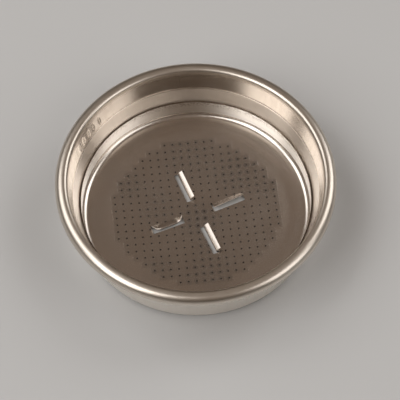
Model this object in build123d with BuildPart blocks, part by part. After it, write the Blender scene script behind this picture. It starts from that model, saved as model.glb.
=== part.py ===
from build123d import *
from math import asin, cos, degrees, radians, sin, sqrt, tan
import os

# Shallow drop-in coffee filter, mouth up: a drawn steel cup with a pierced sieve pressed into its seat.
# Sizes are millimetres and degrees. The cup's axis is Z, its underside is at Z = 0 and +Z is up.

# Drawn cup
rim_radius = 30.0
rim_width = 2.64
overall_height = 14.8
shell_sheet = 0.7
fill_line_height = 9.35
wall_taper = 10.2
band_taper = 19.7
foot_bend = 1.0
shoulder_bend = 1.2
fill_line_bend = 0.5
mouth_bend = 0.95
lip_bend = 1.7
lip_straight = 0.15

# Pierced sieve
sieve_sheet = 0.35
sieve_edge_height = 6.05
sieve_bend = 1.3
fit_clearance = 0.05
dish_depth = 1.0
dish_margin = 0.2
dish_clearance = 0.05
ledge_clearance = 0.02

# Square grid of pierced holes. Six flats stand for each tiny round bore, which keeps so many of them light.
hole_pitch = 1.736
hole_width = 0.44
hole_sides = 6
field_radius = 18.25
hole_margin = 0.45

# Four tabs lanced out of the sieve's floor, two along each arm of a cross, each bent up on one long side.
# The tabs of the first arm lean and those of the second are folded back. The cross is a little off centre.
tab_turn = 17.3
cross_x = 0.3
cross_y = -0.4
tab_inner_radius = 3.5
tab_outer_radius = 10.8
slot_width = 2.1
tab_end_gap = 0.2
tab_curl = 0.3
right_tab_bend = 48.0
left_tab_bend = 15.0
folded_tab_bend = 149.0
folded_tab_shelf = 0.65
tab_reach = 1.6
tab_root = 0.25
tab_sink = 0.04

# Row of plain marks pressed into the inner wall above the fill line
mark_count = 5
mark_spacing = 4.4
mark_direction = 144.0
mark_width = 0.4
mark_height = 1.8
mark_depth = 0.15
mark_level = 11.4

# Section of the cup, worked inward and down from the rim
wall_top_radius = rim_radius - rim_width
fill_line_radius = wall_top_radius - (overall_height - fill_line_height) * tan(radians(wall_taper))
seat_radius = fill_line_radius - (fill_line_height - sieve_edge_height) * tan(radians(band_taper))
lip_end_height = overall_height - lip_bend - lip_straight

# Section of the sieve, which stands inside the seat with its dished floor in the opening of the ledge
sieve_outer_radius = seat_radius - fit_clearance
sieve_inner_radius = sieve_outer_radius - sieve_sheet
dish_bottom = dish_clearance + sieve_sheet
floor_top = dish_bottom + dish_depth
dish_radius = sieve_inner_radius - sieve_bend - dish_margin
dish_sphere = (dish_radius**2 + dish_depth**2) / (2 * dish_depth)
dish_sweep = degrees(asin(dish_radius / dish_sphere))

# The ledge reaches in until its edge all but meets the underside of the dish, which rests there
dry_sphere = dish_sphere + sieve_sheet
ledge_rise = shell_sheet + ledge_clearance - dish_clearance
ledge_opening = sqrt(dry_sphere**2 - (dry_sphere - ledge_rise) ** 2)

# Tabs
tab_middle = (tab_inner_radius + tab_outer_radius) / 2
slot_length = tab_outer_radius - tab_inner_radius
tab_length = slot_length - 2 * tab_end_gap
tab_slope = degrees(asin(tab_middle / dish_sphere))
tab_floor = dish_bottom + dish_sphere - sqrt(dish_sphere**2 - tab_middle**2)
tab_turns = (tab_turn, tab_turn - 90)
tab_sides = (1, -1)
tab_bends = ((right_tab_bend, left_tab_bend), (folded_tab_bend, folded_tab_bend))
tab_shelves = (0, folded_tab_shelf)


def along(turn, distance, level):
    """Point at a distance from the axis, in the direction of a turn about it, at a level."""
    return Vector(distance * cos(radians(turn)), distance * sin(radians(turn)), level)


def on_arm(turn, side, level):
    """Middle of the tab on one side of an arm of the cross, at a level."""
    return Vector(cross_x, cross_y, 0) + along(turn, side * tab_middle, level)


def in_slot(x, y):
    """True where a hole would break into one of the slots."""
    for turn in tab_turns:
        lengthwise = (x - cross_x) * cos(radians(turn)) + (y - cross_y) * sin(radians(turn))
        across = (y - cross_y) * cos(radians(turn)) - (x - cross_x) * sin(radians(turn))
        near_length = abs(abs(lengthwise) - tab_middle) < slot_length / 2 + hole_margin
        near_width = abs(across) < slot_width / 2 + hole_margin
        if near_length and near_width:
            return True
    return False


def dry_corner(corner, lean_before, lean_after):
    """Corner on the sheet's dry face below a wet one, between two runs leaning outward from upright."""
    middle = radians((lean_before + lean_after) / 2)
    reach = shell_sheet / cos(radians((lean_after - lean_before) / 2))
    return (corner[0] + reach * cos(middle), corner[1] - reach * sin(middle))


# Corners of the cup's wet face from the ledge to the lip, the lean of each run between them and their bends
wet_corners = [
    (ledge_opening, shell_sheet),
    (seat_radius, shell_sheet),
    (seat_radius, sieve_edge_height),
    (fill_line_radius, fill_line_height),
    (wall_top_radius, overall_height),
    (rim_radius, overall_height),
    (rim_radius, lip_end_height),
]
leans = [90, 0, band_taper, wall_taper, 90, 180]
wet_bends = [foot_bend, shoulder_bend, fill_line_bend, mouth_bend, lip_bend]
dry_corners = [
    dry_corner(corner, before, after)
    for corner, before, after in zip(wet_corners, leans[:1] + leans, leans + leans[-1:])
]
dry_bends = [
    bend + shell_sheet if after < before else bend - shell_sheet
    for bend, before, after in zip(wet_bends, leans, leans[1:])
]

grid_reach = int(field_radius / hole_pitch)
grid_lines = [step * hole_pitch for step in range(-grid_reach, grid_reach + 1)]
hole_points = [
    (x, y)
    for x in grid_lines
    for y in grid_lines
    if x**2 + y**2 < field_radius**2 and not in_slot(x, y)
]

# The cup: ledge, seat, flared band, upper wall, crest and turned-down lip in one drawn sheet
with BuildPart() as basket_shell:
    with BuildSketch(Plane.XZ):
        with BuildLine():
            wet = FilletPolyline(*wet_corners, radius=wet_bends)
            dry = FilletPolyline(*dry_corners, radius=dry_bends)
            Line(wet @ 0, dry @ 0)
            Line(wet @ 1, dry @ 1)
        make_face()
    revolve(axis=Axis.Z)
    mark_radius = fill_line_radius + (mark_level - fill_line_height) * tan(radians(wall_taper))
    for step in range(mark_count):
        turn = mark_direction + (step - (mark_count - 1) / 2) * mark_spacing
        inward = along(turn, -cos(radians(wall_taper)), sin(radians(wall_taper)))
        mark_plane = Plane(
            origin=along(turn, mark_radius, mark_level),
            x_dir=along(turn + 90, 1, 0),
            z_dir=inward,
        )
        with BuildSketch(mark_plane):
            Rectangle(mark_width, mark_height)
        extrude(amount=mark_depth, both=True, mode=Mode.SUBTRACT)
basket_shell.part.label = "basket_shell"

# The sieve: dished floor and upturned edge
with BuildPart() as sieve:
    with BuildSketch(Plane.XZ):
        with BuildLine():
            wet_dish = JernArc(
                start=(0, dish_bottom), tangent=(1, 0), radius=dish_sphere, arc_size=dish_sweep
            )
            wet_wall = FilletPolyline(
                wet_dish @ 1,
                (sieve_inner_radius, floor_top),
                (sieve_inner_radius, sieve_edge_height),
                radius=sieve_bend,
            )
            dry_dish = JernArc(
                start=(0, dish_bottom - sieve_sheet),
                tangent=(1, 0),
                radius=dry_sphere,
                arc_size=dish_sweep,
            )
            dry_wall = FilletPolyline(
                dry_dish @ 1,
                (sieve_outer_radius, floor_top - sieve_sheet),
                (sieve_outer_radius, sieve_edge_height),
                radius=sieve_bend + sieve_sheet,
            )
            Line(wet_wall @ 1, dry_wall @ 1)
            Line(wet_dish @ 0, dry_dish @ 0)
        make_face()
    revolve(axis=Axis.Z)

    # Slots that the tabs leave in the floor
    for turn in tab_turns:
        for side in tab_sides:
            slot_plane = Plane(origin=on_arm(turn, side, 0), x_dir=along(turn, 1, 0))
            with BuildSketch(slot_plane):
                Rectangle(slot_length, slot_width)
            extrude(amount=floor_top, mode=Mode.SUBTRACT)

    # Bent tabs, each rooted in the floor along one long side of its slot
    for turn, bends, shelf in zip(tab_turns, tab_bends, tab_shelves):
        for side, bend in zip(tab_sides, bends):
            tab_straight = tab_reach - tab_curl * radians(bend)
            tab_plane = Plane(
                origin=on_arm(turn, side, tab_floor - tab_sink),
                x_dir=along(turn + 90, 1, 0),
                z_dir=along(turn, cos(radians(tab_slope)), side * sin(radians(tab_slope))),
            )
            with BuildSketch(tab_plane):
                with BuildLine():
                    wet_root = Line((slot_width / 2 + tab_root, 0), (slot_width / 2 - shelf, 0))
                    wet_curl = JernArc(
                        start=wet_root @ 1, tangent=(-1, 0), radius=tab_curl, arc_size=-bend
                    )
                    wet_tip = Line(wet_curl @ 1, wet_curl @ 1 + (wet_curl % 1) * tab_straight)
                    dry_root = Line(
                        (slot_width / 2 + tab_root, -sieve_sheet),
                        (slot_width / 2 - shelf, -sieve_sheet),
                    )
                    dry_curl = JernArc(
                        start=dry_root @ 1,
                        tangent=(-1, 0),
                        radius=tab_curl + sieve_sheet,
                        arc_size=-bend,
                    )
                    dry_tip = Line(dry_curl @ 1, dry_curl @ 1 + (dry_curl % 1) * tab_straight)
                    Line(wet_tip @ 1, dry_tip @ 1)
                    Line(wet_root @ 0, dry_root @ 0)
                make_face()
            extrude(amount=tab_length / 2, both=True)

    # Pierced holes
    with BuildSketch():
        with Locations(*hole_points):
            RegularPolygon(hole_width / 2, hole_sides)
    extrude(amount=floor_top, mode=Mode.SUBTRACT)
sieve.part.label = "sieve"

os.makedirs("parts", exist_ok=True)
export_step(basket_shell.part, "parts/basket_shell.step")
export_step(sieve.part, "parts/sieve.step")
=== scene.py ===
"""A used steel coffee filter basket, mouth up: a drawn cup and the pierced sieve pressed into its seat."""

import logging
import math
from dataclasses import dataclass
from enum import Enum
from typing import Any, Callable, Iterable

import bmesh
import bpy
import numpy as np
from mathutils import Matrix, Vector
from mathutils.geometry import delaunay_2d_cdt

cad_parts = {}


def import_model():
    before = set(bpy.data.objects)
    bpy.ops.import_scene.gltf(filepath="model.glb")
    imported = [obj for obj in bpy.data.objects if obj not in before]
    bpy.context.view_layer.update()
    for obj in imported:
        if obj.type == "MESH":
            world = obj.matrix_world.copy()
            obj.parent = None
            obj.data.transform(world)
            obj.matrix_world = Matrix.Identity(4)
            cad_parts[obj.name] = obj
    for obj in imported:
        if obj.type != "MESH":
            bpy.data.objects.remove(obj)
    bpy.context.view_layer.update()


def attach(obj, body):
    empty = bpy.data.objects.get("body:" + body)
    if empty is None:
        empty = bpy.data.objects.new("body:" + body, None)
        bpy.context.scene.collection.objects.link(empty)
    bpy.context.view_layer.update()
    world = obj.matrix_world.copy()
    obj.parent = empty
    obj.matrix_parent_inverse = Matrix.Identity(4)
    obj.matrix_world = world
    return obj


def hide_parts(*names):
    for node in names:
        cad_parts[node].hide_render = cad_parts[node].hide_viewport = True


MM = 0.001
LOG = logging.getLogger("coffee_filter")

Point2 = tuple[float, float]
Colour = tuple[float, float, float]
Wave = tuple[int, float, float]


class Arm(Enum):
    """The four tabs, by where each one's slot lies, with its turn from the first arm of the cross."""

    RIGHT = 0
    FAR = 1
    LEFT = 2
    NEAR = 3


class Value:
    """A number that a node gives, which takes part in Python arithmetic by adding Math nodes."""

    def __init__(self, nodes: "Nodes", socket: bpy.types.NodeSocket) -> None:
        """Wraps a socket.

        Args:
            nodes: The tree that the socket belongs to.
            socket: An output socket that carries a number.
        """
        self.nodes = nodes
        self.socket = socket

    def maths(self, operation: str, *others: "Value | float") -> "Value":
        """Adds a Math node with this number first.

        Args:
            operation: The Math node's operation.
            others: The second and third numbers, where the operation takes them.

        Returns:
            The node's result.
        """
        values = dict(enumerate((self, *others)))
        return self.nodes.value("ShaderNodeMath", {"operation": operation}, values)

    def after(self, operation: str, first: float) -> "Value":
        """Adds a Math node with a plain number first and this one second.

        Args:
            operation: The Math node's operation.
            first: The number that stands on the left.

        Returns:
            The node's result.
        """
        return self.nodes.value("ShaderNodeMath", {"operation": operation}, {0: first, 1: self})

    def __add__(self, other: "Value | float") -> "Value":
        """Sum."""
        return self.maths("ADD", other)

    def __radd__(self, other: float) -> "Value":
        """Sum with a plain number on the left."""
        return self.after("ADD", other)

    def __sub__(self, other: "Value | float") -> "Value":
        """Difference."""
        return self.maths("SUBTRACT", other)

    def __rsub__(self, other: float) -> "Value":
        """Difference from a plain number."""
        return self.after("SUBTRACT", other)

    def __mul__(self, other: "Value | float") -> "Value":
        """Product."""
        return self.maths("MULTIPLY", other)

    def __rmul__(self, other: float) -> "Value":
        """Product with a plain number on the left."""
        return self.after("MULTIPLY", other)

    def __truediv__(self, other: "Value | float") -> "Value":
        """Quotient."""
        return self.maths("DIVIDE", other)

    def __rtruediv__(self, other: float) -> "Value":
        """Quotient of a plain number by this one."""
        return self.after("DIVIDE", other)

    def __lt__(self, other: "Value | float") -> "Value":
        """One where this number is the smaller."""
        return self.maths("LESS_THAN", other)

    def __gt__(self, other: "Value | float") -> "Value":
        """One where this number is the larger."""
        return self.maths("GREATER_THAN", other)

    def absolute(self) -> "Value":
        """The number without its sign."""
        return self.maths("ABSOLUTE")

    def root(self) -> "Value":
        """The square root."""
        return self.maths("SQRT")

    def nearest(self) -> "Value":
        """The nearest whole number."""
        return self.maths("ROUND")

    def larger(self, other: "Value | float") -> "Value":
        """The larger of two numbers."""
        return self.maths("MAXIMUM", other)

    def ramp(self, low: float, high: float) -> "Value":
        """A smooth step.

        Args:
            low: The number where the step is nought.
            high: The number where the step is one, which may be below low.

        Returns:
            A number from nought to one.
        """
        flip = high < low
        settings = {"interpolation_type": "SMOOTHSTEP"}
        ends = {"From Min": min(low, high), "From Max": max(low, high), "To Min": 0.0, "To Max": 1.0}
        step = self.nodes.value("ShaderNodeMapRange", settings, {"Value": self, **ends}, "Result")
        return 1.0 - step if flip else step


class Nodes:
    """A node tree under construction."""

    def __init__(self, tree: bpy.types.NodeTree) -> None:
        """Starts from an empty tree.

        Args:
            tree: The tree to fill.
        """
        self.tree = tree
        tree.nodes.clear()

    def add(
        self,
        kind: str,
        settings: dict[str, Any] | None = None,
        inputs: dict[str | int, Any] | None = None,
    ) -> bpy.types.Node:
        """Adds one node.

        Args:
            kind: The node's type.
            settings: Its own settings, which are set before its sockets.
            inputs: Values, sockets or wrapped numbers for its input sockets, by name or place.

        Returns:
            The new node.
        """
        node = self.tree.nodes.new(kind)
        for name, setting in (settings or {}).items():
            setattr(node, name, setting)
        for key, given in (inputs or {}).items():
            if isinstance(given, Value):
                self.tree.links.new(given.socket, node.inputs[key])
            elif isinstance(given, bpy.types.NodeSocket):
                self.tree.links.new(given, node.inputs[key])
            else:
                node.inputs[key].default_value = given
        return node

    def value(
        self,
        kind: str,
        settings: dict[str, Any] | None = None,
        inputs: dict[str | int, Any] | None = None,
        output: str | int = 0,
    ) -> Value:
        """Adds a node and wraps one of its outputs as a number.

        Args:
            kind: The node's type.
            settings: Its own settings.
            inputs: Its input sockets.
            output: The output's name or place.

        Returns:
            The wrapped output.
        """
        return Value(self, self.add(kind, settings, inputs).outputs[output])

    def mix(self, share: Value, first: Any, second: Any) -> bpy.types.NodeSocket:
        """Mixes two colours.

        Args:
            share: How much of the second colour shows.
            first: A colour or a colour socket.
            second: A colour or a colour socket.

        Returns:
            The mixed colour's socket.
        """
        first, second = ((*end, 1.0) if isinstance(end, tuple) else end for end in (first, second))
        node = self.add("ShaderNodeMix", {"data_type": "RGBA"}, {0: share, 6: first, 7: second})
        return node.outputs[2]

    def vector(self, x: Value, y: Value, z: Value) -> bpy.types.Node:
        """Joins three numbers into a place."""
        return self.add("ShaderNodeCombineXYZ", None, {"X": x, "Y": y, "Z": z})

    def noise(self, place: bpy.types.Node, scale: float, detail: float) -> Value:
        """Adds a noise texture.

        Args:
            place: A node whose first output is the place to read.
            scale: How close together the patches lie.
            detail: How many finer layers lie on them.

        Returns:
            The noise, which is one half on average.
        """
        inputs = {"Vector": place.outputs[0], "Scale": scale, "Detail": detail}
        return self.value("ShaderNodeTexNoise", None, inputs)

    def bump(self, height: Value, strength: float, distance: float) -> bpy.types.NodeSocket:
        """Tilts the surface by a height.

        Args:
            height: The height at each place.
            strength: How much of the tilt shows.
            distance: What a height of one stands for, in metres.

        Returns:
            The tilted normal's socket.
        """
        inputs = {"Strength": strength, "Distance": distance, "Height": height}
        return self.add("ShaderNodeBump", None, inputs).outputs[0]

    def surface(self, inputs: dict[str | int, Any]) -> None:
        """Ends a material with one shader.

        Args:
            inputs: The shader's input sockets, by name.
        """
        shader = self.add("ShaderNodeBsdfPrincipled", None, inputs)
        self.add("ShaderNodeOutputMaterial", None, {"Surface": shader.outputs[0]})


def blank_material(name: str) -> tuple[bpy.types.Material, Nodes]:
    """Makes a material with an empty tree.

    Args:
        name: The material's name.

    Returns:
        The material, and its tree under construction.
    """
    material = bpy.data.materials.new(name)
    material.use_nodes = True
    return material, Nodes(material.node_tree)


@dataclass(frozen=True)
class Spot:
    """A stained patch of the sieve's floor, in millimetres."""

    x: float
    y: float
    radius: float
    strength: float


@dataclass(frozen=True)
class DrawnSteel:
    """Bright stainless steel, polished round the cup, with a painted highlight line at the crease, the
    band below it painted paler and a painted shade dimming the rim.
    """

    name: str = "drawn_steel"
    bright: Colour = (0.76, 0.705, 0.635)
    dull: Colour = (0.68, 0.62, 0.55)
    # Darker rim colour: painted shade that dims the rim's reflection.
    rim: Colour = (0.62, 0.56, 0.49)
    wall_roughness: float = 0.19
    rim_roughness: float = 0.33
    least_roughness: float = 0.08
    rim_level: float = 13.6
    rim_fade: Point2 = (-0.5, 0.2)
    stretch: float = 0.0
    stretch_turn: float = 0.25
    line_bump: float = 0.04
    bump_distance: float = 0.0001
    band_top: float = 9.4
    band_fade: float = 0.3
    band_roughness: float = 0.14
    # Share of painted brightness that pales the band below the crease; its extra roughness is its own
    # matte finish.
    band_brightening: float = 0.7
    crease_level: float = 9.35
    crease_highlight_fade: Point2 = (0.16, 0.06)
    # Near-white colour painted along the crease as a highlight line, and mixed into the band below it as
    # painted brightness.
    crease: Colour = (0.97, 0.92, 0.86)
    mottle: Colour = (0.42, 0.35, 0.28)
    mottle_share: float = 0.0
    mottle_top: float = 6.05
    mottle_fade: Point2 = (-2.2, -0.4)
    mottle_scale: float = 2.6
    mottle_range: Point2 = (0.46, 0.58)
    line_spread: Point2 = (1.5, 4.0)
    line_roughness: float = 0.04
    streak_spread: Point2 = (22.0, 0.16)
    streak_roughness: float = 0.06
    streak_share: float = 0.6
    patch_scale: float = 0.16
    patch_share: float = 0.4
    dull_range: Point2 = (0.42, 0.66)

    def material(self) -> bpy.types.Material:
        """Makes the finish.

        Returns:
            A node material that reads Object coordinates.
        """
        material, nodes = blank_material(self.name)
        x, y, z = object_millimetres(nodes)
        radius = (x * x + y * y).root()
        across, up = x / radius, y / radius
        around, along = self.line_spread
        turned = nodes.vector(across * around, up * around, radius * along + z * along)
        lines = nodes.noise(turned, 1.0, 3.0)
        around, along = self.streak_spread
        upright = nodes.vector(across * around, up * around, z * along)
        streaks = nodes.noise(upright, 1.0, 2.0)
        place = nodes.vector(x, y, z)
        patches = nodes.noise(place, self.patch_scale, 3.0)
        dull = patches.ramp(*self.dull_range) * self.patch_share
        dull = dull + streaks.ramp(*self.dull_range) * self.streak_share
        rim = z.ramp(*(self.rim_level + fade for fade in self.rim_fade))
        band = z.ramp(self.band_top, self.band_top - self.band_fade)
        rough = rim * (self.rim_roughness - self.wall_roughness) + self.wall_roughness
        rough = rough + (streaks - 0.5) * self.streak_roughness
        rough = rough + (lines - 0.5) * self.line_roughness + band * self.band_roughness
        blotches = nodes.noise(place, self.mottle_scale, 2.0).ramp(*self.mottle_range)
        # Darker patches mixed into the wall in a band below its top edge.
        mottle = blotches * z.ramp(*(self.mottle_top + fade for fade in self.mottle_fade)) * self.mottle_share
        crease = (z - self.crease_level).absolute().ramp(*self.crease_highlight_fade)
        plain = nodes.mix(dull, self.bright, self.dull)
        # Painted brightness: the band below the crease is mixed toward the near-white crease colour.
        wall = nodes.mix(band * self.band_brightening, plain, self.crease)
        # Painted highlight: the thin line at the crease takes the near-white colour.
        crease_highlighted = nodes.mix(crease, wall, self.crease)
        mottled = nodes.mix(mottle, crease_highlighted, self.mottle)
        nodes.surface(
            {
                # Painted shade: the rim is mixed toward the darker rim colour.
                "Base Color": nodes.mix(rim, mottled, self.rim),
                "Metallic": 1.0,
                "Roughness": rough.larger(self.least_roughness),
                "Anisotropic": self.stretch,
                "Anisotropic Rotation": self.stretch_turn,
                "Normal": nodes.bump(lines, self.line_bump, self.bump_distance),
            }
        )
        return material


@dataclass(frozen=True)
class SieveSteel:
    """Satin pierced sheet, browned by use, with stains round the holes in patches."""

    pitch: float
    field_radius: float
    hole_radius: float
    dish_bottom: float
    dish_sphere: float
    name: str = "sieve_steel"
    satin: Colour = (0.66, 0.597, 0.54)
    worn: Colour = (0.59, 0.533, 0.48)
    brown: Colour = (0.48, 0.434, 0.392)
    stain: Colour = (0.15, 0.12, 0.1)
    # Near-black colour for each hole's bore and a thin ring round it: painted shade for the dark seen down
    # the holes.
    bore: Colour = (0.03, 0.025, 0.02)
    # Dark colour painted on the sieve's top edge: painted shade for the seam line where it meets the cup.
    edge: Colour = (0.24, 0.19, 0.15)
    seam_shade_levels: Point2 = (4.0, 5.0)
    roughness: float = 0.24
    broad_scale: float = 0.11
    broad_range: Point2 = (0.35, 0.68)
    broad_roughness: float = 0.1
    fine_scale: float = 1.3
    fine_range: Point2 = (0.25, 0.6)
    fine_roughness: float = 0.06
    fine_height: float = 0.01
    raised_range: Point2 = (0.24, 0.12)
    ring_reach: Point2 = (1.0, 0.4)
    stain_share: float = 0.9
    stain_roughness: float = 0.12
    patch_share: float = 0.15
    hole_shade_fade: Point2 = (0.06, 0.02)
    hole_roughness: float = 0.4
    field_reach: Point2 = (1.25, 0.95)
    field_fade: Point2 = (-0.6, -1.6)
    field_share: float = 0.55
    field_height: float = 0.2
    dimple_least: float = 0.25
    dimple_height: float = -0.16
    bump_strength: float = 0.3
    bump_distance: float = 0.00006
    spot_fade: Point2 = (1.25, 0.3)
    spots: tuple[Spot, ...] = (
        Spot(0.5, -2.0, 5.0, 0.9),
        Spot(1.5, -8.5, 4.0, 0.6),
        Spot(10.0, 9.0, 6.5, 0.8),
        Spot(0.0, 15.0, 8.0, 0.5),
        Spot(15.5, 5.0, 3.5, 0.7),
        Spot(-14.0, 8.0, 4.0, 0.6),
        Spot(-8.0, 1.5, 5.0, 0.45),
        Spot(1.0, -16.0, 7.0, 0.7),
        Spot(-9.0, -13.5, 4.0, 0.5),
    )

    def material(self) -> bpy.types.Material:
        """Makes the finish.

        Returns:
            A node material that reads Object coordinates.
        """
        material, nodes = blank_material(self.name)
        x, y, z = object_millimetres(nodes)
        radius = (x * x + y * y).root()
        place = nodes.vector(x, y, z)
        broad = nodes.noise(place, self.broad_scale, 3.0)
        fine = nodes.noise(place, self.fine_scale, 3.0)
        away, inside = self._nearest_hole(x, y)
        raised = z - self.dish_bottom - radius * radius / (2.0 * self.dish_sphere)
        inside = inside * raised.ramp(*self.raised_range)
        ring = away.ramp(*self.ring_reach)
        patch = self._patches(x, y)
        stain = ring * patch * inside * fine.ramp(*self.fine_range) * self.stain_share
        # Painted shade: the mask that blackens each hole's bore and the ring round it.
        hole = away.ramp(*(self.hole_radius + fade for fade in self.hole_shade_fade)) * inside
        middle = radius.ramp(*(self.field_radius + fade for fade in self.field_fade))
        field = (away.ramp(*self.field_reach) * inside).larger(middle)
        satin = nodes.mix(broad.ramp(*self.broad_range), self.satin, self.worn)
        browned = nodes.mix(field * self.field_share, satin, self.brown)
        stained = nodes.mix(stain.larger(patch * self.patch_share), browned, self.stain)
        pierced = nodes.mix(hole, stained, self.bore)
        rough = self.roughness + (broad - 0.5) * self.broad_roughness + (fine - 0.5) * self.fine_roughness
        rough = rough + stain * self.stain_roughness + hole * self.hole_roughness
        dimple = ring * inside * (self.dimple_least + patch * (1.0 - self.dimple_least))
        height = dimple * self.dimple_height + fine * self.fine_height - field * self.field_height
        nodes.surface(
            {
                # Painted shade: faces above these levels, the sieve's top edge, take the dark seam colour.
                "Base Color": nodes.mix(z.ramp(*self.seam_shade_levels), pierced, self.edge),
                "Metallic": 1.0,
                "Roughness": rough,
                "Normal": nodes.bump(height, self.bump_strength, self.bump_distance),
            }
        )
        return material

    def _nearest_hole(self, x: Value, y: Value) -> tuple[Value, Value]:
        """Finds the nearest hole.

        Args:
            x: Place along the first row of holes, in millimetres.
            y: Place along the second row.

        Returns:
            How far the nearest grid point is, and a mask for the points of the pierced field.
        """
        column = (x / self.pitch).nearest() * self.pitch
        row = (y / self.pitch).nearest() * self.pitch
        across = x - column
        up = y - row
        away = (across * across + up * up).root()
        inside = (column * column + row * row).root() < self.field_radius
        return away, inside

    def _patches(self, x: Value, y: Value) -> Value:
        """Lays the stained patches together.

        Args:
            x: Place along the first row of holes, in millimetres.
            y: Place along the second row.

        Returns:
            A mask of all the patches.
        """
        total = x * 0.0
        for spot in self.spots:
            across = x - spot.x
            up = y - spot.y
            away = (across * across + up * up).root()
            patch = away.ramp(*(spot.radius * fade for fade in self.spot_fade))
            total = total.larger(patch * spot.strength)
        return total


@dataclass(frozen=True)
class PaleFloor:
    """Plain pale studio floor."""

    name: str = "pale_floor"
    colour: Colour = (0.52, 0.52, 0.515)
    roughness: float = 0.55

    def material(self) -> bpy.types.Material:
        """Makes the finish."""
        material, nodes = blank_material(self.name)
        nodes.surface({"Base Color": (*self.colour, 1.0), "Roughness": self.roughness})
        return material


def object_millimetres(nodes: Nodes) -> tuple[Value, Value, Value]:
    """Reads the place on the piece.

    Args:
        nodes: The tree to add to.

    Returns:
        X, Y and Z in millimetres.
    """
    coordinates = nodes.add("ShaderNodeTexCoord")
    parts = nodes.add("ShaderNodeSeparateXYZ", None, {0: coordinates.outputs["Object"]})
    x, y, z = (Value(nodes, parts.outputs[axis]) / MM for axis in range(3))
    return x, y, z


def smooth_step(low: float, high: float, at: np.ndarray) -> np.ndarray:
    """A smooth step from nought at low to one at high.

    Args:
        low: Where the step starts.
        high: Where the step ends, which may be below low.
        at: The places.

    Returns:
        The step's height at each place.
    """
    share = np.clip((at - low) / (high - low), 0.0, 1.0)
    return share * share * (3.0 - 2.0 * share)


def rounded_path(
    corners: list[Point2], bends: list[float], run_step: float, turn_step: float = 8.0
) -> np.ndarray:
    """Follows a line of corners, rounding each one by its bend.

    Args:
        corners: The line's corners.
        bends: The bend radius at each corner between the two ends.
        run_step: The longest step along a straight run.
        turn_step: The largest step round a bend, in degrees.

    Returns:
        Points along the rounded line.
    """
    knots = [np.array(corners[0])]
    for before, here, after, bend in zip(corners, corners[1:], corners[2:], bends):
        into = np.subtract(here, before) / math.dist(here, before)
        out = np.subtract(after, here) / math.dist(after, here)
        turn = math.atan2(into[0] * out[1] - into[1] * out[0], float(into @ out))
        start = np.array(here) - into * bend * math.tan(abs(turn) / 2)
        centre = start + math.copysign(bend, turn) * np.array((-into[1], into[0]))
        steps = max(2, math.ceil(abs(math.degrees(turn)) / turn_step))
        for angle in np.linspace(0.0, turn, steps + 1):
            spin = np.array(((math.cos(angle), -math.sin(angle)), (math.sin(angle), math.cos(angle))))
            knots.append(centre + spin @ (start - centre))
    knots.append(np.array(corners[-1]))
    points = [knots[0]]
    for first, last in zip(knots, knots[1:]):
        steps = max(1, math.ceil(math.dist(first, last) / run_step))
        points.extend(first + (last - first) * step / steps for step in range(1, steps + 1))
    return np.array(points)


def lathe_faces(rows: int, columns: int, closed_section: bool) -> list[tuple[int, int, int, int]]:
    """Quads of a section turned right round an axis, its points stored row by row.

    Args:
        rows: Points in the section.
        columns: Steps round the axis.
        closed_section: Whether the section's last point joins its first.

    Returns:
        The quads' vertex numbers.
    """
    faces = []
    for row in range(rows if closed_section else rows - 1):
        upper = (row + 1) % rows
        for column in range(columns):
            beside = (column + 1) % columns
            low, high = row * columns, upper * columns
            faces.append((low + column, low + beside, high + beside, high + column))
    return faces


def uneven(turns: np.ndarray, waves: Iterable[Wave]) -> np.ndarray:
    """Adds up waves round an axis.

    Args:
        turns: Directions, in radians.
        waves: Each wave's count round the axis, size and start.

    Returns:
        The sum in each direction.
    """
    return sum(size * np.sin(count * turns + start) for count, size, start in waves)


def mesh_piece(
    name: str,
    points: np.ndarray,
    faces: Iterable[Iterable[int]],
    material: bpy.types.Material,
    join: float = 0.0,
    sharp: float = 38.0,
) -> bpy.types.Object:
    """Makes a finished piece from points in millimetres.

    Args:
        name: The piece's name.
        points: Its vertices.
        faces: Its faces' vertex numbers.
        material: Its finish.
        join: Vertices nearer than this, in millimetres, become one.
        sharp: Edges that turn by more than this many degrees are left sharp.

    Returns:
        The new object, linked to the scene.
    """
    mesh = bpy.data.meshes.new(name)
    mesh.from_pydata((np.asarray(points) * MM).tolist(), [], [tuple(face) for face in faces])
    mesh.materials.append(material)
    work = bmesh.new()
    work.from_mesh(mesh)
    if join:
        bmesh.ops.remove_doubles(work, verts=work.verts, dist=join * MM)
    bmesh.ops.recalc_face_normals(work, faces=work.faces)
    for face in work.faces:
        face.smooth = True
    work.to_mesh(mesh)
    work.free()
    mesh.set_sharp_from_angle(angle=math.radians(sharp))
    piece = bpy.data.objects.new(name, mesh)
    bpy.context.scene.collection.objects.link(piece)
    return piece


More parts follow.
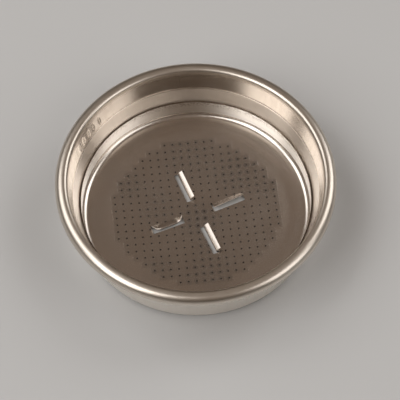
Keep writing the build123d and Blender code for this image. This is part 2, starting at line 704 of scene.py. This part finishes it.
@dataclass
class Basket:
    """The drawn outer cup, with its sizes in millimetres and degrees."""

    rim_radius: float = 30.0
    rim_width: float = 2.64
    overall_height: float = 14.8
    sheet: float = 0.7
    fill_line_height: float = 9.35
    wall_taper: float = 10.2
    band_taper: float = 19.7
    seat_top: float = 6.05
    foot_bend: float = 1.0
    shoulder_bend: float = 1.2
    fill_line_bend: float = 0.5
    mouth_bend: float = 0.95
    lip_bend: float = 1.7
    lip_straight: float = 0.15
    ledge_opening: float = 19.088
    bead_width: float = 0.5
    bead_height: float = 0.07
    bead_bend: float = 0.2
    columns: int = 300
    wet_step: float = 0.3
    dry_step: float = 0.8
    wobble: float = 0.012
    wobble_low: Point2 = (1.5, 8.0)
    wobble_high: Point2 = (14.4, 12.5)
    wobble_rim: Point2 = (-1.0, -2.2)
    waves: tuple[Wave, ...] = (
        (2, 1.0, 0.4),
        (3, 0.8, 2.1),
        (5, 0.7, 4.0),
        (9, 0.5, 1.2),
        (14, 0.35, 5.1),
        (23, 0.25, 0.7),
    )
    mark_count: int = 5
    mark_spacing: float = 4.4
    mark_direction: float = 144.0
    mark_width: float = 0.4
    mark_height: float = 1.8
    mark_depth: float = 0.15
    mark_level: float = 11.4
    mark_softness: float = 0.1
    mark_steps: int = 8
    mark_room: float = 1.4

    @property
    def wall_top_radius(self) -> float:
        """Where the wall's line meets the level of the crest."""
        return self.rim_radius - self.rim_width

    @property
    def fill_line_radius(self) -> float:
        """Inside radius at the crease above the flared band."""
        rise = self.overall_height - self.fill_line_height
        return self.wall_top_radius - rise * math.tan(math.radians(self.wall_taper))

    @property
    def seat_radius(self) -> float:
        """Inside radius of the straight seat that the sieve stands in."""
        rise = self.fill_line_height - self.seat_top
        return self.fill_line_radius - rise * math.tan(math.radians(self.band_taper))

    def section(self) -> tuple[np.ndarray, int]:
        """The sheet's closed section.

        Returns:
            Points (radius, height), wet face first, and how many of them are on the wet face.
        """
        lip_end = self.overall_height - self.lip_bend - self.lip_straight
        corners = [
            (self.ledge_opening, self.sheet),
            (self.seat_radius, self.sheet),
            (self.seat_radius, self.seat_top),
            (self.fill_line_radius, self.fill_line_height),
            (self.wall_top_radius, self.overall_height),
            (self.rim_radius, self.overall_height),
            (self.rim_radius, lip_end),
        ]
        leans = [90.0, 0.0, self.band_taper, self.wall_taper, 90.0, 180.0]
        bends = [self.foot_bend, self.shoulder_bend, self.fill_line_bend, self.mouth_bend, self.lip_bend]
        under = [
            self._dry_corner(corner, before, after)
            for corner, before, after in zip(corners, leans[:1] + leans, leans + leans[-1:])
        ]
        under_bends = [
            bend + self.sheet if after < before else bend - self.sheet
            for bend, before, after in zip(bends, leans, leans[1:])
        ]
        beaded = corners[:3] + self._bead() + corners[4:]
        wet = rounded_path(beaded, bends[:2] + [self.bead_bend] * 3 + bends[3:], self.wet_step)
        dry = rounded_path(under, under_bends, self.dry_step)
        return np.vstack((wet, dry[::-1])), len(wet)

    def build(self, material: bpy.types.Material) -> bpy.types.Object:
        """Turns the section round the axis and presses the marks into the wall.

        Args:
            material: The cup's finish.

        Returns:
            The cup.
        """
        section, wet_count = self.section()
        turns = self._turns()
        radius = np.repeat(section[:, :1], len(turns), axis=1)
        height = np.repeat(section[:, 1:], len(turns), axis=1)
        spread = smooth_step(*self.wobble_low, height) * smooth_step(*self.wobble_high, height)
        spread = spread * smooth_step(*self.wobble_rim, radius - self.rim_radius)
        radius = radius + spread * self.wobble * uneven(turns, self.waves)[None, :]
        wet = (np.arange(len(section)) < wet_count)[:, None]
        pressed = self._marks(turns)[None, :] * self._mark_rows(height) * wet * self.mark_depth
        lean = math.radians(self.wall_taper)
        radius = radius + pressed * math.cos(lean)
        height = height - pressed * math.sin(lean)
        points = np.stack((radius * np.cos(turns), radius * np.sin(turns), height), axis=-1)
        faces = lathe_faces(len(section), len(turns), True)
        return mesh_piece("basket_cup", points.reshape(-1, 3), faces, material)

    def dress(self, piece: bpy.types.Object) -> None:
        """Puts the cup in the place of its solid."""
        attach(piece, "root")
        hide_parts("basket_shell")

    def _dry_corner(self, corner: Point2, before: float, after: float) -> Point2:
        """Corner of the sheet's other face.

        Args:
            corner: The corner on the wet face.
            before: Lean from upright of the run before it.
            after: Lean from upright of the run after it.

        Returns:
            The corner that keeps the sheet's thickness on both runs.
        """
        middle = math.radians((before + after) / 2)
        reach = self.sheet / math.cos(math.radians((after - before) / 2))
        return corner[0] + reach * math.cos(middle), corner[1] - reach * math.sin(middle)

    def _bead(self) -> list[Point2]:
        """Corners of the fine bead that the draw leaves along the crease: its foot, crest and head."""
        radius, height, half = self.fill_line_radius, self.fill_line_height, self.bead_width / 2
        below, above = math.radians(self.band_taper), math.radians(self.wall_taper)
        return [
            (radius - half * math.sin(below), height - half * math.cos(below)),
            (radius - self.bead_height, height),
            (radius + half * math.sin(above), height + half * math.cos(above)),
        ]

    def _mark_turns(self) -> list[float]:
        """Directions of the pressed marks, in radians."""
        middle = (self.mark_count - 1) / 2
        return [
            math.radians(self.mark_direction + (step - middle) * self.mark_spacing)
            for step in range(self.mark_count)
        ]

    def _turns(self) -> np.ndarray:
        """Directions of the section's copies, closer together at the marks."""
        even = np.linspace(0.0, 2 * math.pi, self.columns, endpoint=False)
        half = (self.mark_width / 2 + self.mark_softness) / self.fill_line_radius
        offsets = np.linspace(-half, half, self.mark_steps + 1)
        marks = self._mark_turns()
        close = [mark + offset for mark in marks for offset in offsets]
        apart = [turn for turn in even if all(abs(turn - mark) > half * self.mark_room for mark in marks)]
        return np.array(sorted(apart + close))

    def _marks(self, turns: np.ndarray) -> np.ndarray:
        """How deep the marks are in each direction, from nought to one."""
        depth = np.zeros_like(turns)
        half, soft = self.mark_width / 2, self.mark_softness
        for mark in self._mark_turns():
            away = np.abs(turns - mark) * self.fill_line_radius
            depth = np.maximum(depth, smooth_step(half + soft, half - soft, away))
        return depth

    def _mark_rows(self, height: np.ndarray) -> np.ndarray:
        """How deep the marks are at each height, from nought to one."""
        half = self.mark_height / 2
        away = np.abs(height - self.mark_level)
        return smooth_step(half + 2 * self.mark_softness, half - 2 * self.mark_softness, away)


@dataclass(frozen=True)
class Tab:
    """One lanced tab: its arm of the cross, the side it is rooted on and how it is curled."""

    arm: Arm
    root_side: int
    inner_bend: float
    outer_bend: float
    end_curl: float = 0.0
    shelf: float = 0.05
    curl: float = 0.3
    reach: float = 1.6
    end_range: Point2 = (0.7, 1.0)
    upper_round: float = 0.2
    lower_round: float = 0.06
    curl_steps: int = 10
    round_steps: int = 3


@dataclass
class HoleField:
    """The square grid of punched holes, made by Geometry Nodes from one collar."""

    pitch: float = 1.736
    field_radius: float = 18.25
    hole_radius: float = 0.15
    collar_radius: float = 0.43
    collar_inside: float = 0.98
    sides: int = 12
    margin: float = 0.45

    def circle(self, radius: float) -> np.ndarray:
        """Corners of a ring round a hole."""
        turns = np.arange(self.sides) * 2 * math.pi / self.sides
        return np.stack((radius * np.cos(turns), radius * np.sin(turns)), axis=-1)

    def centres(self, blocked: Callable[[float, float], bool]) -> np.ndarray:
        """Lists the holes.

        Args:
            blocked: Says whether a point is too near a slot.

        Returns:
            The holes' centres.
        """
        reach = int(self.field_radius / self.pitch)
        lines = [step * self.pitch for step in range(-reach, reach + 1)]
        grid = [(x, y) for y in lines for x in lines if math.hypot(x, y) < self.field_radius]
        return np.array([spot for spot in grid if not blocked(*spot)])

    def collar(self, sheet: float) -> bpy.types.Object:
        """One hole's edge and plain bore, in metres.

        Args:
            sheet: The sheet's thickness.

        Returns:
            A loose object that the node tree copies.
        """
        levels = [
            (self.collar_radius, 0.0),
            (self.hole_radius, 0.0),
            (self.hole_radius, -sheet),
            (self.collar_radius, -sheet),
        ]
        points = [(*corner, level) for radius, level in levels for corner in self.circle(radius)]
        mesh = bpy.data.meshes.new("hole_collar")
        mesh.from_pydata((np.array(points) * MM).tolist(), [], lathe_faces(len(levels), self.sides, False))
        return bpy.data.objects.new("hole_collar", mesh)

    def realise(
        self,
        collar: bpy.types.Object,
        material: bpy.types.Material,
        slots: dict[str, float],
    ) -> bpy.types.Mesh:
        """Copies the collar to every hole of the grid.

        Args:
            collar: One hole's edge and bore.
            material: The sieve's finish.
            slots: The slots' sizes, by the names of the tree's inputs.

        Returns:
            A plain mesh of all the collars.
        """
        tree = self._tree(material)
        host = bpy.data.objects.new("hole_field", bpy.data.meshes.new("hole_field"))
        bpy.context.scene.collection.objects.link(host)
        modifier = host.modifiers.new("holes", "NODES")
        modifier.node_group = tree
        sizes: dict[str, Any] = {
            "Collar": collar,
            "Pitch": self.pitch * MM,
            "Reach": int(self.field_radius / self.pitch),
            "Field Radius": self.field_radius * MM,
            **slots,
        }
        for item in tree.interface.items_tree:
            if item.in_out == "INPUT":
                modifier[item.identifier] = sizes[item.name]
        bpy.context.view_layer.update()
        result = host.evaluated_get(bpy.context.evaluated_depsgraph_get())
        mesh = bpy.data.meshes.new_from_object(result)
        host.modifiers.remove(modifier)
        bpy.data.objects.remove(host)
        bpy.data.objects.remove(collar)
        return mesh

    def _tree(self, material: bpy.types.Material) -> bpy.types.NodeTree:
        """Builds the node tree that places the collars.

        Args:
            material: The sieve's finish.

        Returns:
            The tree, with named inputs for its sizes.
        """
        tree = bpy.data.node_groups.new("hole_grid", "GeometryNodeTree")
        nodes = Nodes(tree)
        tree.interface.new_socket("Holes", in_out="OUTPUT", socket_type="NodeSocketGeometry")
        tree.interface.new_socket("Collar", in_out="INPUT", socket_type="NodeSocketObject")
        tree.interface.new_socket("Reach", in_out="INPUT", socket_type="NodeSocketInt")
        sizes = ("Pitch", "Field Radius", "Cross X", "Cross Y", "Tab Turn", "Tab Middle")
        for name in (*sizes, "Slot Half Length", "Slot Half Width"):
            tree.interface.new_socket(name, in_out="INPUT", socket_type="NodeSocketFloat")
        given = nodes.add("NodeGroupInput").outputs
        reach = Value(nodes, given["Reach"])
        pitch = Value(nodes, given["Pitch"])
        count = reach * 2.0 + 1.0
        width = reach * 2.0 * pitch
        grid = nodes.add(
            "GeometryNodeMeshGrid",
            None,
            {"Size X": width, "Size Y": width, "Vertices X": count, "Vertices Y": count},
        )
        position = nodes.add("GeometryNodeInputPosition")
        parts = nodes.add("ShaderNodeSeparateXYZ", None, {0: position.outputs[0]})
        x, y = Value(nodes, parts.outputs[0]), Value(nodes, parts.outputs[1])
        left_out = (x * x + y * y).root() > Value(nodes, given["Field Radius"])
        turn = Value(nodes, given["Tab Turn"])
        cosine, sine = turn.maths("COSINE"), turn.maths("SINE")
        aside = x - Value(nodes, given["Cross X"])
        ahead = y - Value(nodes, given["Cross Y"])
        first = aside * cosine + ahead * sine
        second = ahead * cosine - aside * sine
        for lengthwise, across in ((first, second), (second, first)):
            off_middle = (lengthwise.absolute() - Value(nodes, given["Tab Middle"])).absolute()
            near_length = off_middle < Value(nodes, given["Slot Half Length"])
            near_width = across.absolute() < Value(nodes, given["Slot Half Width"])
            left_out = left_out.larger(near_length * near_width)
        kept = nodes.add(
            "GeometryNodeDeleteGeometry",
            {"domain": "POINT"},
            {"Geometry": grid.outputs["Mesh"], "Selection": left_out},
        )
        shape = nodes.add("GeometryNodeObjectInfo", None, {"Object": given["Collar"]})
        copies = nodes.add(
            "GeometryNodeInstanceOnPoints",
            None,
            {"Points": kept.outputs[0], "Instance": shape.outputs["Geometry"]},
        )
        real = nodes.add("GeometryNodeRealizeInstances", None, {"Geometry": copies.outputs[0]})
        finished = nodes.add(
            "GeometryNodeSetMaterial", None, {"Geometry": real.outputs[0], "Material": material}
        )
        nodes.add("NodeGroupOutput", None, {0: finished.outputs[0]})
        return tree


@dataclass
class Sieve:
    """The pierced inner cup, with its sizes in millimetres and degrees."""

    seat_radius: float
    sheet: float = 0.35
    edge_height: float = 6.05
    bend: float = 1.3
    fit_clearance: float = 0.05
    dish_depth: float = 1.0
    dish_margin: float = 0.2
    dish_clearance: float = 0.05
    tab_turn: float = 17.3
    cross_x: float = 0.3
    cross_y: float = -0.4
    tab_inner_radius: float = 3.5
    tab_outer_radius: float = 10.8
    slot_width: float = 2.1
    tab_end_gap: float = 0.2
    edge_lean: float = 0.03
    edge_round: float = 0.08
    ring_height: float = 0.04
    ring_rise: Point2 = (18.9, 19.7)
    ring_fall: Point2 = (20.5, 21.3)
    edge_wave: float = 0.06
    lean_wave: float = 0.012
    lean_start: float = 1.7
    wave_depth: float = 1.0
    edge_waves: tuple[Wave, ...] = (
        (4, 0.5, 0.3),
        (7, 0.5, 2.0),
        (13, 0.4, 1.1),
        (29, 0.4, 4.4),
        (53, 0.35, 0.9),
        (88, 0.3, 3.3),
    )
    floor_share_of_bend: float = 0.6
    flat_normal: float = 0.7
    wet_step: float = 0.35
    dry_step: float = 0.7
    weld: float = 0.002
    cut_tolerance: float = 1e-5
    ring_stride: int = 3
    join_radius: float = 21.4
    edge_rings: tuple[float, ...] = (18.95, 19.7, 20.5)
    columns: int = 300
    tab_steps: int = 10
    tabs: tuple[Tab, ...] = (
        Tab(Arm.RIGHT, 1, 42.0, 54.0),
        Tab(Arm.FAR, -1, 146.0, 152.0, shelf=0.65),
        Tab(Arm.LEFT, -1, 16.0, 14.0, end_curl=55.0),
        Tab(Arm.NEAR, 1, 152.0, 146.0, shelf=0.65),
    )

    @property
    def floor_top(self) -> float:
        """Level of the floor at the foot of the upturned wall."""
        return self.dish_bottom + self.dish_depth

    @property
    def inner_radius(self) -> float:
        """Inside radius of the upturned wall."""
        return self.seat_radius - self.fit_clearance - self.sheet

    @property
    def dish_radius(self) -> float:
        """Where the dished floor meets the bend of the wall."""
        return self.inner_radius - self.bend - self.dish_margin

    @property
    def dish_bottom(self) -> float:
        """Level of the floor at the axis."""
        return self.dish_clearance + self.sheet

    @property
    def dish_sphere(self) -> float:
        """Radius of the sphere that the dished floor is part of."""
        return (self.dish_radius**2 + self.dish_depth**2) / (2 * self.dish_depth)

    @property
    def slot_length(self) -> float:
        """Length of each slot along its arm."""
        return self.tab_outer_radius - self.tab_inner_radius

    @property
    def tab_middle(self) -> float:
        """Distance of each slot's middle from the axis."""
        return (self.tab_inner_radius + self.tab_outer_radius) / 2

    def dish(self, radius: np.ndarray) -> np.ndarray:
        """How far the floor lies below the foot of the wall at a distance from the axis."""
        inside = np.minimum(radius, self.dish_radius)
        return self.dish_depth - self.dish_sphere + np.sqrt(self.dish_sphere**2 - inside**2)

    def in_slot(self, x: float, y: float, margin: float) -> bool:
        """Says whether a point lies in a slot.

        Args:
            x: Place along the first row of holes.
            y: Place along the second row.
            margin: Room to add round each slot.

        Returns:
            True in or near a slot.
        """
        for arm in (Arm.RIGHT, Arm.FAR):
            turn = self._arm_turn(arm)
            lengthwise = (x - self.cross_x) * math.cos(turn) + (y - self.cross_y) * math.sin(turn)
            across = (y - self.cross_y) * math.cos(turn) - (x - self.cross_x) * math.sin(turn)
            near_length = abs(abs(lengthwise) - self.tab_middle) < self.slot_length / 2 + margin
            if near_length and abs(across) < self.slot_width / 2 + margin:
                return True
        return False

    def build(
        self, holes: HoleField, material: bpy.types.Material, wall_material: bpy.types.Material
    ) -> bpy.types.Object:
        """Makes the sieve as one closed sheet.

        Args:
            holes: The grid of punched holes.
            material: The floor's finish.
            wall_material: The finish of the upturned wall.

        Returns:
            The sieve.
        """
        points: list[np.ndarray] = []
        faces: list[tuple[int, ...]] = []

        def gather(more_points: np.ndarray, more_faces: Iterable[Iterable[int]]) -> None:
            """Adds points and faces to the sheet."""
            start = sum(len(block) for block in points)
            points.append(np.asarray(more_points, dtype=float))
            faces.extend(tuple(start + corner for corner in face) for face in more_faces)

        gather(*self._floor(holes))
        gather(*self._wall())
        for tab in self.tabs:
            gather(*self._slot_sides(tab))
            gather(*self._tab(tab))
        collars = holes.realise(
            holes.collar(self.sheet),
            material,
            {
                "Cross X": self.cross_x * MM,
                "Cross Y": self.cross_y * MM,
                "Tab Turn": math.radians(self.tab_turn),
                "Tab Middle": self.tab_middle * MM,
                "Slot Half Length": (self.slot_length / 2 + holes.margin) * MM,
                "Slot Half Width": (self.slot_width / 2 + holes.margin) * MM,
            },
        )
        gather(
            np.array([tuple(vertex.co) for vertex in collars.vertices]) / MM,
            [tuple(polygon.vertices) for polygon in collars.polygons],
        )
        bpy.data.meshes.remove(collars)
        placed = np.vstack(points)
        radius = np.hypot(placed[:, 0], placed[:, 1])
        ring = smooth_step(*self.ring_rise, radius) - smooth_step(*self.ring_fall, radius)
        placed[:, 2] += self.floor_top - self.dish(radius) + ring * self.ring_height
        piece = mesh_piece("pierced_sieve", placed, faces, material, join=self.weld)
        piece.data.materials.append(wall_material)
        wall_start = (self.floor_top + self.bend * self.floor_share_of_bend) * MM
        for polygon in piece.data.polygons:
            beyond = math.hypot(polygon.center.x, polygon.center.y) > self.join_radius * MM
            if beyond and polygon.center.z > wall_start and polygon.normal.z < self.flat_normal:
                polygon.material_index = 1
        return piece

    def dress(self, piece: bpy.types.Object) -> None:
        """Puts the sieve in the place of its solid."""
        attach(piece, "root")
        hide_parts("sieve")

    def _arm_turn(self, arm: Arm) -> float:
        """Direction of an arm of the cross, in radians."""
        return math.radians(self.tab_turn) + arm.value * math.pi / 2

    def _tab_frame(self, tab: Tab) -> tuple[np.ndarray, np.ndarray, np.ndarray]:
        """Finds a tab's place on the floor.

        Args:
            tab: The tab.

        Returns:
            The slot's middle, the direction along it and the direction from its open side to its root.
        """
        turn = self._arm_turn(tab.arm)
        outward = np.array((math.cos(turn), math.sin(turn)))
        sideways = np.array((-math.sin(turn), math.cos(turn))) * tab.root_side
        return np.array((self.cross_x, self.cross_y)) + outward * self.tab_middle, outward, sideways

    def _lengthwise(self) -> np.ndarray:
        """Steps along a slot, with the gap at each end of its tab."""
        half = self.slot_length / 2
        steps = np.linspace(-half + self.tab_end_gap, half - self.tab_end_gap, self.tab_steps + 1)
        return np.concatenate(((-half,), steps, (half,)))

    def _slot_outline(self, tab: Tab) -> np.ndarray:
        """Corners round a slot, the rooted side first."""
        middle, outward, sideways = self._tab_frame(tab)
        half = self.slot_width / 2
        steps = self._lengthwise()
        rooted = [middle + outward * step + sideways * half for step in steps]
        free = [middle + outward * step - sideways * half for step in steps[::-1]]
        return np.array(rooted + free)

    def _floor(self, holes: HoleField) -> tuple[np.ndarray, list[tuple[int, ...]]]:
        """Both faces of the flat floor, with openings for the collars and the slots.

        Args:
            holes: The grid of punched holes.

        Returns:
            Points and faces, with the upper face at level nought.
        """
        centres = holes.centres(lambda x, y: self.in_slot(x, y, holes.margin))
        turns = np.arange(self.columns) * 2 * math.pi / self.columns
        rim = np.stack((np.cos(turns), np.sin(turns)), axis=-1)
        loops = [rim * self.join_radius]
        loops.extend(centre + holes.circle(holes.collar_radius) for centre in centres)
        loops.extend(self._slot_outline(tab) for tab in self.tabs)
        loose = [rim[:: self.ring_stride] * radius for radius in self.edge_rings]
        flat = np.vstack(loops + loose)
        edges = []
        start = 0
        for loop in loops:
            edges.extend((start + step, start + (step + 1) % len(loop)) for step in range(len(loop)))
            start += len(loop)
        plain = [Vector((float(x), float(y))) for x, y in flat]
        corners, _, triangles, _, _, _ = delaunay_2d_cdt(plain, edges, [], 1, self.cut_tolerance)
        sheet = np.array([tuple(corner) for corner in corners])
        middles = [sheet[list(triangle)].mean(axis=0) for triangle in triangles]
        solid = [self._solid(middle, centres, holes) for middle in middles]
        kept = [triangle for triangle, stays in zip(triangles, solid) if stays]
        upper = np.column_stack((sheet, np.zeros(len(sheet))))
        lower = np.column_stack((sheet, np.full(len(sheet), -self.sheet)))
        turned = [tuple(len(sheet) + corner for corner in reversed(triangle)) for triangle in kept]
        return np.vstack((upper, lower)), [tuple(triangle) for triangle in kept] + turned

    def _solid(self, middle: np.ndarray, centres: np.ndarray, holes: HoleField) -> bool:
        """Says whether a triangle of the floor is sheet and not opening.

        Args:
            middle: The triangle's middle.
            centres: The holes' centres.
            holes: The grid of punched holes.

        Returns:
            True where there is sheet.
        """
        nearest = np.min(np.hypot(*(centres - middle).T))
        clear = nearest > holes.collar_radius * holes.collar_inside
        return clear and not self.in_slot(middle[0], middle[1], 0.0)

    def _wall(self) -> tuple[np.ndarray, list[tuple[int, ...]]]:
        """The floor's outer border, its bend and the upturned wall with its sheared edge.

        Returns:
            Points and faces, with the floor's upper face at level nought.
        """
        top = self.edge_height - self.floor_top
        inner = self.inner_radius
        outer = inner + self.sheet
        corners = [(self.join_radius, 0.0), (inner, 0.0), (inner - self.edge_lean, top)]
        corners.append((outer - self.edge_lean, top))
        under = [(self.join_radius, -self.sheet), (outer, -self.sheet), (outer - self.edge_lean, top)]
        wet = rounded_path(corners, [self.bend, self.edge_round], self.wet_step)
        dry = rounded_path(under, [self.bend + self.sheet], self.dry_step)
        section = np.vstack((wet, dry[-2::-1]))
        turns = np.arange(self.columns) * 2 * math.pi / self.columns
        radius = np.repeat(section[:, :1], self.columns, axis=1)
        height = np.repeat(section[:, 1:], self.columns, axis=1)
        rise = smooth_step(top - self.wave_depth, top, height)
        height = height + rise * self.edge_wave * uneven(turns, self.edge_waves)[None, :]
        leaning = 1.0 + uneven(turns + self.lean_start, self.edge_waves)
        radius = radius - rise * self.lean_wave * leaning[None, :]
        points = np.stack((radius * np.cos(turns), radius * np.sin(turns), height), axis=-1)
        return points.reshape(-1, 3), lathe_faces(len(section), self.columns, False)

    def _slot_sides(self, tab: Tab) -> tuple[np.ndarray, list[tuple[int, ...]]]:
        """The cut sides of a slot, left open where its tab is rooted.

        Args:
            tab: The slot's tab.

        Returns:
            Points and faces, with the floor's upper face at level nought.
        """
        outline = self._slot_outline(tab)
        count = len(outline)
        upper = np.column_stack((outline, np.zeros(count)))
        lower = np.column_stack((outline, np.full(count, -self.sheet)))
        rooted = range(1, self.tab_steps + 1)
        faces = [
            (step, (step + 1) % count, count + (step + 1) % count, count + step)
            for step in range(count)
            if step not in rooted
        ]
        return np.vstack((upper, lower)), faces

    def _tab(self, tab: Tab) -> tuple[np.ndarray, list[tuple[int, ...]]]:
        """The curled tab as a closed sheet that starts at its root.

        Args:
            tab: The tab.

        Returns:
            Points and faces, with the floor's upper face at level nought.
        """
        middle, outward, sideways = self._tab_frame(tab)
        lengths = self._lengthwise()[1:-1]
        ends = smooth_step(*tab.end_range, np.abs(np.linspace(-1.0, 1.0, len(lengths))))
        twist = np.linspace(tab.inner_bend, tab.outer_bend, len(lengths))
        bends = np.radians(twist + ends * tab.end_curl)
        profiles = np.array([self._tab_section(tab, bend) for bend in bends])
        points = []
        for row in range(profiles.shape[1]):
            for length, (across, level) in zip(lengths, profiles[:, row]):
                spot = middle + outward * length + sideways * (self.slot_width / 2 - across)
                points.append((spot[0], spot[1], level))
        rows, columns = profiles.shape[1], len(lengths)
        faces: list[tuple[int, ...]] = []
        for row in range(rows - 1):
            for column in range(columns - 1):
                corner = row * columns + column
                faces.append((corner, corner + 1, corner + columns + 1, corner + columns))
        for column in (0, columns - 1):
            for row in range(rows // 2 - 1):
                far = rows - 1 - row
                faces.append(tuple(level * columns + column for level in (row, row + 1, far - 1, far)))
        return np.array(points), faces

    def _tab_section(self, tab: Tab, bend: float) -> np.ndarray:
        """One cross section of a tab.

        Args:
            tab: The tab.
            bend: How far it is curled up here, in radians.

        Returns:
            Points (distance from the root, level), out along the upper face and back along the lower one.
        """
        turns = np.linspace(0.0, bend, tab.curl_steps + 1)
        outer = tab.curl + self.sheet
        upper = np.column_stack((tab.curl * np.sin(turns), tab.curl * (1 - np.cos(turns))))
        lower = np.column_stack((outer * np.sin(turns), outer * (1 - np.cos(turns)) - self.sheet))
        upper = np.vstack(((0.0, 0.0), upper + (tab.shelf, 0.0)))
        lower = np.vstack(((0.0, -self.sheet), lower + (tab.shelf, 0.0)))
        ahead = np.array((math.cos(bend), math.sin(bend)))
        above = np.array((-math.sin(bend), math.cos(bend)))
        run = ahead * (tab.reach - tab.curl * bend)
        arcs = np.linspace(0.0, math.pi / 2, tab.round_steps + 1)
        back, down = 1 - np.sin(arcs)[:, None], 1 - np.cos(arcs)[:, None]
        upper_edge = upper[-1] + run - (ahead * back + above * down) * tab.upper_round
        lower_edge = lower[-1] + run - (ahead * back - above * down) * tab.lower_round
        return np.vstack((upper, upper_edge, lower_edge[::-1], lower[::-1]))


@dataclass(frozen=True)
class Lamp:
    """A soft box that faces the object."""

    name: str
    azimuth: float
    elevation: float
    distance: float
    width: float
    height: float
    radiance: float

    def place(self) -> None:
        """Adds the lamp, with its power worked out from how bright its face is."""
        data = bpy.data.lights.new(self.name, "AREA")
        data.shape = "RECTANGLE"
        data.size = self.width
        data.size_y = self.height
        data.energy = self.radiance * math.pi * self.width * self.height
        lamp = bpy.data.objects.new(self.name, data)
        turn, rise = math.radians(self.azimuth), math.radians(self.elevation)
        away = Vector((math.cos(turn) * math.cos(rise), math.sin(turn) * math.cos(rise), math.sin(rise)))
        lamp.location = away * self.distance
        lamp.rotation_euler = away.to_track_quat("Z", "Y").to_euler()
        bpy.context.scene.collection.objects.link(lamp)


@dataclass
class Studio:
    """Floor, lamps and camera."""

    floor_size: float = 3.0
    lens: float = 225.0
    sensor_width: float = 36.0
    clip_start: float = 0.01
    camera_place: tuple[float, float, float] = (-0.02547, -0.27547, 0.46796)
    camera_right: tuple[float, float, float] = (0.994183, -0.107446, -0.007428)
    camera_down: tuple[float, float, float] = (-0.096006, -0.85284, -0.51327)
    camera_ahead: tuple[float, float, float] = (0.048814, 0.510997, -0.858195)
    low_colour: Colour = (0.068, 0.051, 0.037)
    high_colour: Colour = (0.176, 0.133, 0.102)
    sky_range: Point2 = (0.2, 0.8)
    lamps: tuple[Lamp, ...] = (
        Lamp("soft_box_right_back", 29.0, 39.0, 0.85, 0.44, 0.58, 2.3),
        Lamp("soft_box_right_front", -29.0, 39.0, 0.85, 0.46, 0.58, 1.95),
        Lamp("soft_box_left_back", 149.0, 47.0, 0.85, 0.54, 0.60, 2.1),
        Lamp("soft_box_left_front", 206.5, 48.0, 0.85, 0.52, 0.68, 3.0),
    )

    def build(self, finish: PaleFloor) -> bpy.types.Object:
        """Sets the stage.

        Args:
            finish: The floor's finish.

        Returns:
            The floor.
        """
        half = self.floor_size / 2
        mesh = bpy.data.meshes.new("studio_floor")
        corners = [(-half, -half, 0.0), (half, -half, 0.0), (half, half, 0.0), (-half, half, 0.0)]
        mesh.from_pydata(corners, [], [(0, 1, 2, 3)])
        mesh.materials.append(finish.material())
        floor = bpy.data.objects.new("studio_floor", mesh)
        bpy.context.scene.collection.objects.link(floor)
        for lamp in self.lamps:
            lamp.place()
        self._world()
        self._camera()
        bpy.context.scene.view_settings.view_transform = "Standard"
        return floor

    def _world(self) -> None:
        """Gives the room a plain warm grey that is dim near the horizon."""
        world = bpy.data.worlds.new("studio_room")
        world.use_nodes = True
        nodes = Nodes(world.node_tree)
        coordinates = nodes.add("ShaderNodeTexCoord")
        parts = nodes.add("ShaderNodeSeparateXYZ", None, {0: coordinates.outputs["Generated"]})
        height = Value(nodes, parts.outputs[2]).ramp(*self.sky_range)
        colour = nodes.mix(height, self.low_colour, self.high_colour)
        light = nodes.add("ShaderNodeBackground", None, {"Color": colour, "Strength": 1.0})
        nodes.add("ShaderNodeOutputWorld", None, {"Surface": light.outputs[0]})
        bpy.context.scene.world = world

    def _camera(self) -> None:
        """Stands the camera where the photograph was taken from."""
        data = bpy.data.cameras.new("camera")
        data.lens = self.lens
        data.sensor_width = self.sensor_width
        data.clip_start = self.clip_start
        camera = bpy.data.objects.new("camera", data)
        right = Vector(self.camera_right)
        up = -Vector(self.camera_down)
        back = -Vector(self.camera_ahead)
        turn = Matrix((right, up, back)).transposed().to_4x4()
        camera.matrix_world = Matrix.Translation(self.camera_place) @ turn
        bpy.context.scene.collection.objects.link(camera)
        bpy.context.scene.camera = camera


def main() -> None:
    """Builds the object and its studio."""
    logging.basicConfig(level=logging.INFO, format="%(name)s: %(message)s")
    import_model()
    basket = Basket()
    cup = basket.build(DrawnSteel().material())
    basket.dress(cup)
    LOG.info("%s: %d faces", cup.name, len(cup.data.polygons))
    holes = HoleField()
    sieve = Sieve(seat_radius=basket.seat_radius)
    finish = SieveSteel(
        holes.pitch, holes.field_radius, holes.hole_radius, sieve.dish_bottom, sieve.dish_sphere
    )
    # The sieve's upturned wall takes a paler copy of the cup's steel: painted brightness standing in for
    # the light it reflects.
    brightened_wall_finish = DrawnSteel(
        name="sieve_wall_brightened_steel",
        bright=(0.95, 0.89, 0.81),
        dull=(0.84, 0.78, 0.70),
        wall_roughness=0.46,
        band_roughness=0.0,
        stretch=1.0,
        mottle_share=0.55,
    )
    plate = sieve.build(holes, finish.material(), brightened_wall_finish.material())
    sieve.dress(plate)
    LOG.info("%s: %d faces", plate.name, len(plate.data.polygons))
    floor = Studio().build(PaleFloor())
    LOG.info("%s is the stage", floor.name)


if __name__ == "__main__":
    main()
